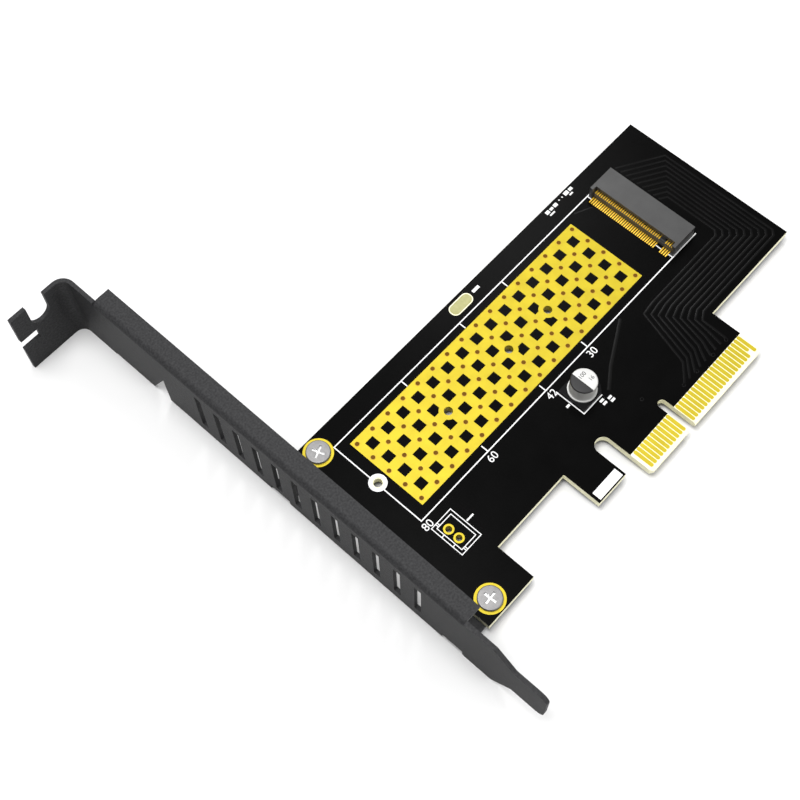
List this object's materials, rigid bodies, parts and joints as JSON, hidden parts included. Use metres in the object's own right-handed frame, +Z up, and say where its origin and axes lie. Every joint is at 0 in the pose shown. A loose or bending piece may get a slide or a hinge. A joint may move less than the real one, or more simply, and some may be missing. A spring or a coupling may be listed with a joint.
{
  "type": "nvme adapter card",
  "caption": "Plug-in adapter card with a vented slot bracket, an edge tab and a drive connector over a gold cooling field.",
  "frame": {"origin": "under the middle of the whole card, on the surface that the bracket edge lies on", "axes": "+X from the bracket to the far end of the board, +Y from the edge tab to the ear of the bracket, +Z up out of the component side"},
  "size_m": [0.1234, 0.12, 0.0184],
  "materials": {
    "laminate": "bare glass laminate, cream",
    "coat": "black solder mask, satin",
    "gold": "gold plated copper, bright",
    "print": "white print",
    "socket": "dark grey moulding",
    "tin": "tinned",
    "capacitor_foot": "black moulding",
    "can": "satin",
    "bracket_paint": "dark grey powder coat, fine grain",
    "screw_steel": "bright zinc"
  },
  "bodies": {
    "root": {"circuit_board": "laminate", "solder_mask_top": "coat", "solder_mask_bottom": "coat", "cooling_pad": "gold", "cooling_pad_mask": "coat", "drive_hole_plating": "gold", "header_eyelets": "gold", "screw_lands_top": "gold", "screw_lands_bottom": "gold", "edge_contacts_front": "gold", "edge_contacts_back": "gold", "board_print": "print", "drive_slot_housing": "socket", "drive_slot_lower_contacts": "gold", "drive_slot_upper_contacts": "gold", "drive_slot_hold_downs": "tin", "capacitor_base": "capacitor_foot", "capacitor_leads": "tin", "capacitor_can": "can", "bracket": "bracket_paint", "bracket_screws": "screw_steel"}
  },
  "joints": []
}
